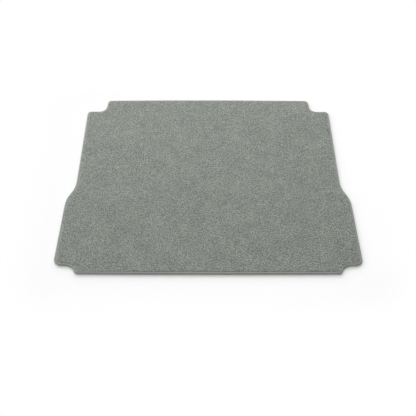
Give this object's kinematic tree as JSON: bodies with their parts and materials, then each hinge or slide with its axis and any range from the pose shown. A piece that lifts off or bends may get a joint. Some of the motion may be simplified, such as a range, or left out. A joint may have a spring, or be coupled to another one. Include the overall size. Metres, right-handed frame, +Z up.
{
  "type": "car boot carpet mat",
  "caption": "Flat carpet mat for a family car's boot floor, with notched corners, flares behind the wheel arches, a bound edge and a felt backing",
  "frame": {"origin": "on the underside, below the middle of the mat's bounding box", "axes": "+X across the car, to the right as seen from the tailgate; +Y from the tailgate towards the back seats; +Z up, out of the pile"},
  "size_m": [1.0372, 0.8896, 0.01],
  "materials": {
    "carpet_pile": "dense short cut pile, grey-green",
    "edge_band": "stitched woven band, grey-green",
    "backing_felt": "needled felt, grey"
  },
  "bodies": {
    "root": {"carpet_sheet": "carpet_pile", "edge_binding": "edge_band", "backing_layer": "backing_felt"}
  },
  "joints": []
}
